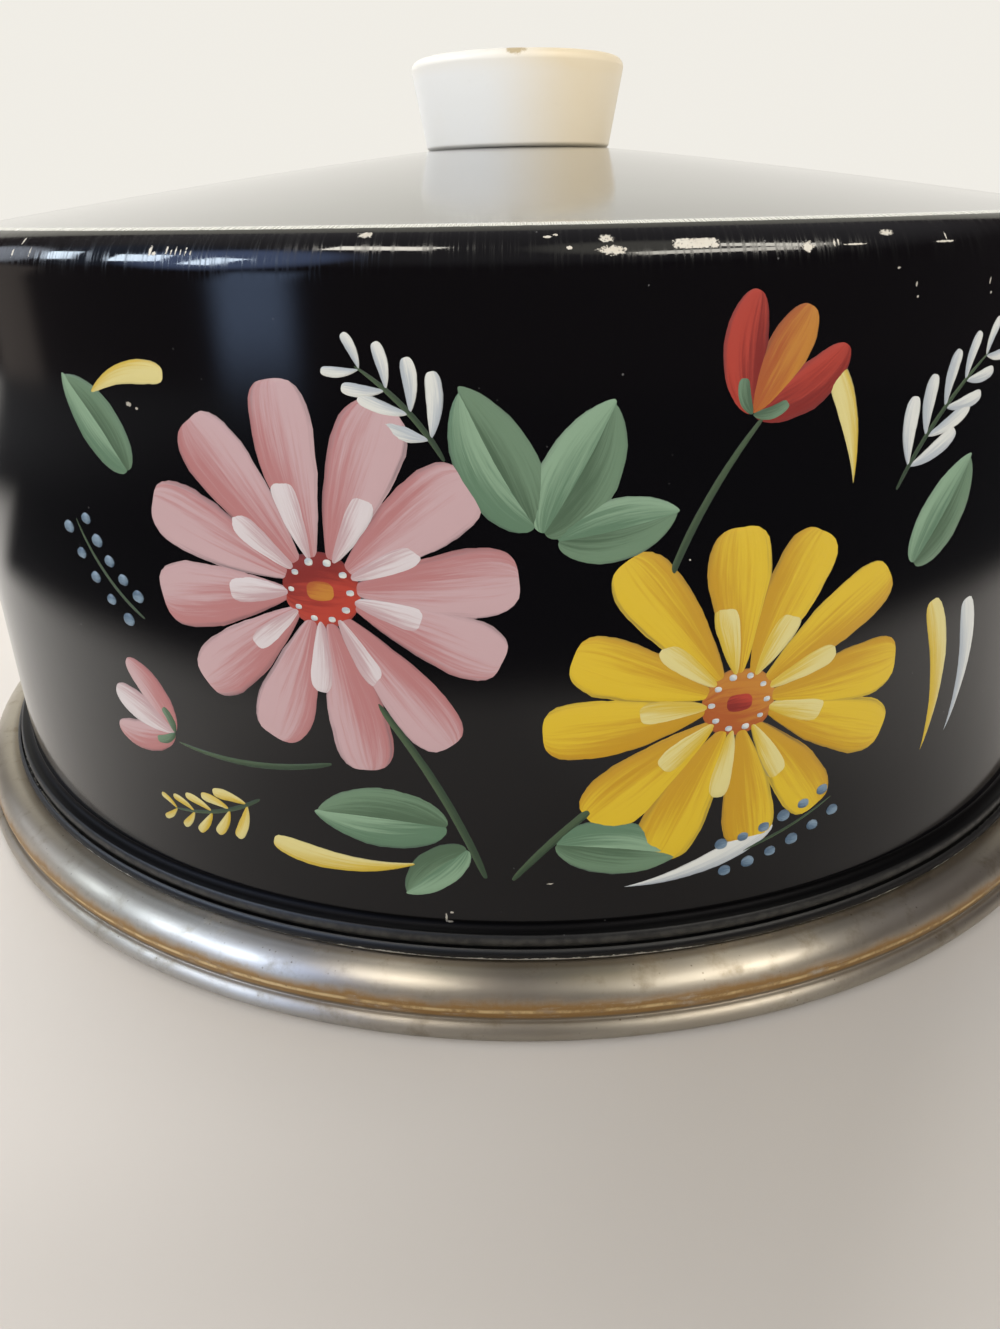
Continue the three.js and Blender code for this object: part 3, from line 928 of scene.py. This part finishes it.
class Spray:
    """The strokes of one spray, sorted by the kind of piece that they belong to."""

    def __init__(self, seed):
        self.kinds = {"petals": [], "leaves": [], "lines": [], "dots": []}
        self.chance = random.Random(seed)

    def about(self, value, share):
        return value * (1 + self.chance.uniform(-share, share))

    def stroke(self, kind, place, turn, length, width, loads, layer, bend=0.0, root=0.7, tip=0.4):
        """Angles are in degrees; turn is the way that the stroke sets out, 0 to the right and 90 up."""
        bend = bend if abs(bend) > least_bend else least_bend
        self.kinds[kind].append({
            "root_arc": place[0],
            "root_height": place[1],
            "turn": math.radians(turn),
            "bend": math.radians(bend),
            "length": length,
            "half_width": width / 2 / peak(root, tip),
            "root_taper": root,
            "tip_taper": tip,
            "layer": layer,
            "loaded_side": self.chance.choice((-1, 1)),
            "first_load": loads[0],
            "second_load": loads[1],
        })

    def line(self, place, turn, length, width, loads, bend=0.0, root=0.25, tip=0.45, layer=stem_layer):
        self.stroke("lines", place, turn, length, width, loads, layer, bend, root, tip)

    def dot(self, place, across, loads):
        start = (place[0] - across / 2, place[1])
        self.stroke("dots", start, 0, across, across, loads, dot_layer, 0, 0.5, 0.5)

    def ring(self, middle, root_radius, count, reach, width, loads, layer, phase):
        """Petals all round a middle."""
        for number in range(count):
            turn = phase + 360 * number / count + self.chance.uniform(-3, 3)
            way = Vector((math.cos(math.radians(turn)), math.sin(math.radians(turn))))
            length = self.about(reach - root_radius, 0.06)
            bend = self.chance.uniform(-8, 8)
            start = Vector(middle) + way * root_radius
            here = turn - bend / 2
            across = self.about(width, 0.08)
            self.stroke("petals", start, here, length, across, loads, layer, bend, 0.95, 0.32)

    def bloom(self, middle, reach, outer, inner, heart):
        self.ring(middle, 0.12 * reach, 12, reach, 0.36 * reach, outer, petal_layer, 7)
        self.ring(middle, 0.14 * reach, 9, 0.58 * reach, 0.17 * reach, inner, inner_layer, 22)
        for across, loads, layer in ((0.42, heart[0], heart_layer), (0.2, heart[1], heart_layer + 0.5)):
            size = across * reach
            start = (middle[0] - size / 2, middle[1])
            self.stroke("petals", start, 0, size, size, loads, layer, 0, 0.5, 0.5)
        dots = 10
        for number in range(dots):
            angle = 2 * math.pi * number / dots
            spot = Vector(middle) + 0.155 * reach * Vector((math.cos(angle), math.sin(angle)))
            self.dot(spot, self.about(0.045 * reach, 0.15), white)

    def leaf(self, place, turn, length, width, bend):
        spread = 24.0
        for side, loads in ((1, mint_light), (-1, mint_dark)):
            arc_length = length * math.radians(spread) / math.sin(math.radians(spread))
            start = turn + side * spread - bend / 2
            curve = bend - side * 2 * spread
            half = 0.58 * width
            self.stroke("leaves", place, start, arc_length, half, loads, leaf_layer, curve, 0.5, 0.75)

    def tulip(self, place, turn, reach, loads, middle_loads):
        outer_width, middle_width = 0.4 * reach, 0.42 * reach
        for side in (1, -1):
            start, bend = turn + side * 52, -side * 44
            self.stroke("petals", place, start, reach, outer_width, loads, petal_layer, bend, 0.6, 0.5)
        length = 0.95 * reach
        self.stroke("petals", place, turn, length, middle_width, middle_loads, inner_layer, 0, 0.6, 0.45)
        length, width = 0.36 * reach, 0.16 * reach
        for side in (1, -1):
            start, bend = turn + side * 70, -side * 50
            self.stroke("leaves", place, start, length, width, mint_dark, inner_layer, bend)

    def sprig(self, place, turn, length, bend, pairs, loads, stroke_length):
        self.line(place, turn, length, 0.9 * mm, dark_green, bend)
        for number in range(pairs):
            share = (number + 0.8) / pairs
            heading = math.radians(bend) * share
            radius = length / math.radians(bend)
            forward = radius * math.sin(heading)
            sideways = radius * (1 - math.cos(heading))
            base = math.radians(turn)
            spot = (
                place[0] + forward * math.cos(base) - sideways * math.sin(base),
                place[1] + forward * math.sin(base) + sideways * math.cos(base),
            )
            here = turn + bend * share
            size = stroke_length * (1.15 - 0.55 * share)
            for side in (1, -1):
                away = here + side * self.about(48, 0.1)
                reach = self.about(size, 0.08)
                self.line(spot, away, reach, 0.3 * size, loads, -side * 26, 0.8, 0.32, leaf_layer)

    def berries(self, place, turn, length, bend, count, across):
        self.line(place, turn, length, 0.7 * mm, dark_green, bend)
        for number in range(count):
            share = (number + 0.7) / count
            here = math.radians(turn + bend * share / 2)
            out = math.radians(turn + bend * share + 90)
            for side in (1, -1):
                shift = side * 1.25 * across
                spot = (
                    place[0] + length * share * math.cos(here) + shift * math.cos(out),
                    place[1] + length * share * math.sin(here) + shift * math.sin(out),
                )
                self.dot(spot, self.about(across, 0.1), blue)


def painted_spray():
    spray = Spray(spray_seed)
    rose_middle = (-29 * mm, 73 * mm)
    yellow_middle = (33 * mm, 54 * mm)
    spray.line((-6 * mm, 24 * mm), 108, 44 * mm, 1.5 * mm, dark_green, 22)
    spray.line((-2 * mm, 24 * mm), 52, 40 * mm, 1.5 * mm, dark_green, -22)
    spray.line((20 * mm, 72 * mm), 74, 30 * mm, 1.2 * mm, dark_green, -24)
    spray.line((-30 * mm, 44 * mm), 196, 30 * mm, 1.2 * mm, dark_green, -26)
    spray.bloom(rose_middle, 29 * mm, rose, rose_light, (red, orange))
    spray.bloom(yellow_middle, 29 * mm, yellow, yellow_light, (orange, red))
    for place, turn, length, width, bend in (
        ((2, 83), 118, 21, 12, -14),
        ((3, 82), 62, 20, 12, 12),
        ((5, 81), 12, 17, 10, 10),
        ((-12, 34), 178, 22, 12, 12),
        ((-9, 30), 222, 14, 8, 10),
        ((5, 31), 350, 20, 11, -12),
        ((62, 72), 60, 18, 11, 14),
        ((-60, 88), 128, 17, 10, 14),
    ):
        spray.leaf((place[0] * mm, place[1] * mm), turn, length * mm, width * mm, bend)
    spray.tulip((31 * mm, 97 * mm), 62, 16 * mm, red, orange)
    spray.tulip((-60 * mm, 44 * mm), 158, 15 * mm, rose, rose_light)
    spray.sprig((56 * mm, 84 * mm), 66, 24 * mm, -30, 5, white, 9 * mm)
    spray.sprig((-10 * mm, 92 * mm), 118, 17 * mm, 30, 4, white, 8 * mm)
    spray.sprig((-44 * mm, 35 * mm), 214, 21 * mm, -30, 5, yellow_light, 7 * mm)
    spray.berries((-62 * mm, 64 * mm), 150, 20 * mm, -40, 5, 2.2 * mm)
    spray.berries((30 * mm, 25 * mm), 8, 24 * mm, 24, 6, 2.2 * mm)
    for place, turn, length, width, bend, loads in (
        ((-16, 27), 196, 27, 4.4, -34, yellow_light),
        ((16, 22), 4, 27, 4.2, 30, white),
        ((72, 36), 76, 30, 4.6, 44, yellow_light),
        ((78, 38), 70, 26, 4.0, 44, white),
        ((-66, 98), 40, 17, 3.6, -50, yellow_light),
        ((48, 86), 96, 18, 3.6, 26, yellow_light),
    ):
        start = (place[0] * mm, place[1] * mm)
        spray.line(start, turn, length * mm, width * mm, loads, bend, 1.1, 0.3, leaf_layer)
    return spray


def stroke_points(name, strokes):
    """One point for each stroke of each spray, with the stroke's values as its attributes."""
    mesh = bpy.data.meshes.new(name)
    pitch = 2 * math.pi * wall_radius / spray_count
    rows = []
    for number in range(spray_count):
        for stroke in strokes:
            root_arc = stroke["root_arc"] + number * pitch
            rows.append({**stroke, "root_arc": root_arc, "number": len(rows)})
    mesh.from_pydata([(row["root_arc"], 0, row["root_height"]) for row in rows], [], [])
    for key, value in rows[0].items():
        if isinstance(value, tuple):
            values = mesh.attributes.new(key, "FLOAT_COLOR", "POINT")
            values.data.foreach_set("color", [part for row in rows for part in row[key]])
        else:
            values = mesh.attributes.new(key, "FLOAT", "POINT")
            values.data.foreach_set("value", [float(row[key]) for row in rows])
    return mesh


def paint_flowers():
    spray = painted_spray()
    tree = brush_stroke_tree()
    material = flower_paint()
    fineness = {"petals": (12, 20), "leaves": (10, 18), "lines": (6, 18), "dots": (8, 10)}
    for kind, (across, along) in fineness.items():
        values = {
            "Across": across,
            "Along": along,
            "Wall Radius": wall_radius,
            "Paint Thickness": paint_thickness,
            "Layer Height": paint_layer_height,
            "Edge Wobble": edge_wobble,
            "Seed": wobble_seed,
            "Finish": material,
        }
        name = "painted_" + kind
        piece = grow(name, stroke_points(name + "_points", spray.kinds[kind]), tree, values)
        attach(piece, "cover")


paint_flowers()


# Table, surroundings and lamps

backdrop_colour = rgb(0.875, 0.85, 0.79)


def floor_finish():
    """Pale painted board with two areas painted lighter as pools of light. In reflections it ends soon, with
    a dark room beyond, painted as a dim glow; there the board in front of the tray is darkened as painted
    shade, and near the window it shows as a painted bright reflection.
    """
    board = Finish("pale_board")
    mottle = board.noise(board.place, 14.0, 3.0)
    colour = board.blend(mottle, rgb(0.61, 0.565, 0.52), rgb(0.65, 0.605, 0.56))
    # Painted light: two areas of the board, on the right and at the front left, are given a lighter colour
    painted_light_right = board.smooth(board.x - (board.y + 0.14) * 0.6, 0.055, 0.085)
    painted_light_left = board.smooth(-board.y, 0.18, 0.15) * board.smooth(-board.x, -0.03, 0.01) * 0.55
    colour = board.blend(board.larger(painted_light_left, painted_light_right), colour, rgb(0.75, 0.70, 0.65))
    paint = board.node("ShaderNodeBsdfPrincipled", {}, {"Base Color": colour, "Roughness": 0.75})
    # Painted reflection: glossy rays beyond the board's end see a dim glow, brighter on the left
    left_share = board.smooth(-board.x, 0.4, 0.7)
    room = board.shine(board.blend(left_share, rgb(0.0428, 0.0437, 0.045), rgb(0.1378, 0.1407, 0.145)))
    far = board.shine(backdrop_colour)
    painted_window_glow = board.shine(rgb(1.0, 0.97, 0.92), 1.1)
    rays = board.node("ShaderNodeLightPath")
    glossy_ray = rays.output("Is Glossy Ray")
    stretched = (((board.x - 0.015) * 0.91) ** 2 + board.y ** 2) ** 0.5
    front_end = board.smooth(stretched, 0.24, 0.29) * board.smooth(board.y, 0.07, 0.03)
    side_end = board.smooth(stretched, 0.35, 0.45) * board.smooth(board.y, 0.16, 0.12)
    # Painted shade: in reflections, the board in front of the tray is partly swapped for that dim glow
    painted_front_shade = board.smooth(-board.y, 0.08, 0.15) * board.band(board.x, 0.0, 0.16, 0.08)
    beyond = board.larger(board.larger(front_end, side_end), painted_front_shade * 0.35) * glossy_ray
    distance = board.smooth(board.radius, 0.5, 0.9) * rays.output("Is Camera Ray")
    # Painted reflection: on the left, glossy rays see the board as a bright glow
    near_window = board.smooth(-board.x, 0.12, 0.22) * glossy_ray * 0.5
    near = board.mix_shaders(near_window, paint, painted_window_glow)
    seen = board.mix_shaders(distance, near, far)
    surface = board.mix_shaders(beyond, seen, room)
    board.node("ShaderNodeOutputMaterial", {}, {"Surface": surface})
    return board.material


def lay_floor():
    sides = 96
    reach = 0.95
    mesh = bpy.data.meshes.new("board")
    rim = []
    for side in range(sides):
        angle = 2 * math.pi * side / sides
        rim.append((reach * math.cos(angle), reach * math.sin(angle), 0))
    mesh.from_pydata(rim, [], [tuple(range(sides))])
    floor = add_object("board", mesh)
    floor.data.materials.append(floor_finish())


def toward(graph, way, across, ahead, up):
    """The cosine of the angle between the way looked and the given unit vector."""
    pair = {0: way, 1: (across, ahead, up)}
    return graph.node("ShaderNodeVectorMath", {"operation": "DOT_PRODUCT"}, pair).output("Value")


def set_world():
    """A pale backdrop, a window behind on the left, and in reflections a dim room with pale low walls."""
    world = bpy.data.worlds.new("room")
    scene.world = world
    world.use_nodes = True
    room = Graph(world.node_tree)
    way = room.node("ShaderNodeTexCoord").output("Generated")
    across, ahead, up = room.parts(way)
    turn = room.maths("ARCTAN2", across, ahead)
    lift = room.maths("ARCSINE", up)
    oval = ((turn / math.radians(48.5)) ** 2 + (lift / math.radians(60)) ** 2) ** 0.5
    paper = room.smooth(oval, 1.03, 0.93)
    paper_tone = room.blend(room.smooth(up, 0.15, 0.5), backdrop_colour, rgb(0.66, 0.64, 0.56))
    glossy = room.blend(room.smooth(up, 0.5, 0.8), rgb(0.07, 0.06, 0.06), rgb(0.25, 0.24, 0.25))
    wall = room.band(turn, -math.radians(81), math.radians(8), math.radians(4))
    glossy = room.blend(wall * room.smooth(up, 0.32, 0.22), glossy, rgb(0.42, 0.36, 0.32))
    door = room.band(turn, -math.radians(134.5), math.radians(9.5), math.radians(4))
    door = door * room.smooth(up, 0.5, 0.3) * room.smooth(up, -0.14, -0.06)
    glossy = room.blend(door, glossy, rgb(1.0, 1.35, 2.1))
    # Lights that the dome and the rim mirror: the way to the middle, the cosines at the edge and at the core
    for glow_way, edge, core, glow_colour in (
        ((-0.76, 0.0, 0.65), 0.93, 0.99, rgb(0.16, 0.20, 0.28)),
        ((-0.66, -0.32, 0.68), 0.93, 0.985, rgb(1.0, 1.35, 2.4)),
        ((0.28, -0.33, 0.90), 0.95, 0.99, rgb(1.0, 0.97, 0.86)),
        ((-0.85, 0.34, 0.41), 0.985, 0.997, rgb(1.3, 1.4, 1.6)),
    ):
        glow = room.smooth(toward(room, way, *glow_way), edge, core)
        glossy = room.blend(glow, glossy, glow_colour)
    glossy = room.blend(paper, glossy, paper_tone)
    walls = room.blend(room.smooth(up, 1.4, 0.0), rgb(0.2, 0.2, 0.2), rgb(2.0, 2.0, 1.97))
    window = room.smooth(toward(room, way, -0.33, 0.764, 0.555), 0.83, 0.97)
    window = room.blend(window, rgb(0.0, 0.0, 0.0), rgb(4.8, 4.8, 4.75))
    shade = room.smooth(toward(room, way, 0.33, 0.244, 0.912), 0.65, 0.95) * 0.85
    fill = room.blend(shade, room.blend(1.0, walls, window, "ADD"), rgb(0.0, 0.0, 0.0))
    rays = room.node("ShaderNodeLightPath")
    colour = room.blend(rays.output("Is Glossy Ray"), fill, glossy)
    colour = room.blend(rays.output("Is Camera Ray"), colour, backdrop_colour)
    background = room.node("ShaderNodeBackground", {}, {"Color": colour, "Strength": 1.0})
    room.node("ShaderNodeOutputWorld", {}, {"Surface": background})


def lamp(name, start, end, height, radiance, colour):
    """A rectangular lamp, seen in reflections only. Its two ends are given from the rim's front."""
    light = bpy.data.lights.new(name, "AREA")
    light.shape = "RECTANGLE"
    light.size = (end - start).length
    light.size_y = height
    light.energy = radiance * math.pi * light.size * height
    light.color = colour
    carrier = add_object(name, light)
    carrier.visible_camera = False
    carrier.visible_diffuse = False
    middle = (start + end) / 2
    back = middle.normalized()
    along = (end - start).normalized()
    along = (along - back * along.dot(back)).normalized()
    turned = Matrix((along, back.cross(along), back)).transposed().to_4x4()
    rim_front = Vector((0, -crest_radius, rim_height))
    carrier.matrix_world = Matrix.Translation(middle + rim_front) @ turned


lay_floor()
set_world()
daylight = (0.76, 0.88, 1.0)
lamplight = (1.0, 0.95, 0.84)
for name, start, end, height, radiance, colour in (
    ("window pane left", (-1.26, 0.29, 0.675), (-1.22, 0.17, 0.76), 0.26, 12, daylight),
    ("window pane middle", (-1.20, -0.03, 0.80), (-1.10, -0.22, 0.89), 0.26, 16, daylight),
    ("window pane right", (-1.06, -0.39, 0.874), (-0.985, -0.54, 0.875), 0.30, 18, daylight),
    ("strip left", (-0.60, -0.18, 1.37), (-0.28, -0.41, 1.415), 0.20, 16, lamplight),
    ("strip right", (0.66, -0.37, 1.31), (0.98, -0.29, 1.06), 0.16, 12, lamplight),
    ("strip front right", (0.45, -0.80, 1.19), (0.905, -0.42, 1.01), 0.16, 11, lamplight),
):
    lamp(name, Vector(start), Vector(end), height, radiance, colour)


# Camera, at the photograph's angle

camera_distance = 0.25536
camera_height = 0.12332
camera_pitch = 0.44176
camera_roll = -0.01947
camera_yaw = -0.02508
focal_pixels = 985.13
image_height_pixels = 1329
film_width = 36


def set_camera():
    forward = Vector((
        math.sin(camera_yaw) * math.cos(camera_pitch),
        math.cos(camera_yaw) * math.cos(camera_pitch),
        -math.sin(camera_pitch),
    ))
    level_right = Vector((math.cos(camera_yaw), -math.sin(camera_yaw), 0))
    level_up = level_right.cross(forward)
    right = level_right * math.cos(camera_roll) + level_up * math.sin(camera_roll)
    up = level_up * math.cos(camera_roll) - level_right * math.sin(camera_roll)
    data = bpy.data.cameras.new("camera")
    data.sensor_width = film_width
    data.lens = film_width * focal_pixels / image_height_pixels
    data.clip_start = 0.01
    camera = add_object("camera", data)
    turned = Matrix((right, up, -forward)).transposed().to_4x4()
    camera.matrix_world = Matrix.Translation((0, -camera_distance, camera_height)) @ turned
    scene.camera = camera


set_camera()

scene.view_settings.view_transform = "Standard"
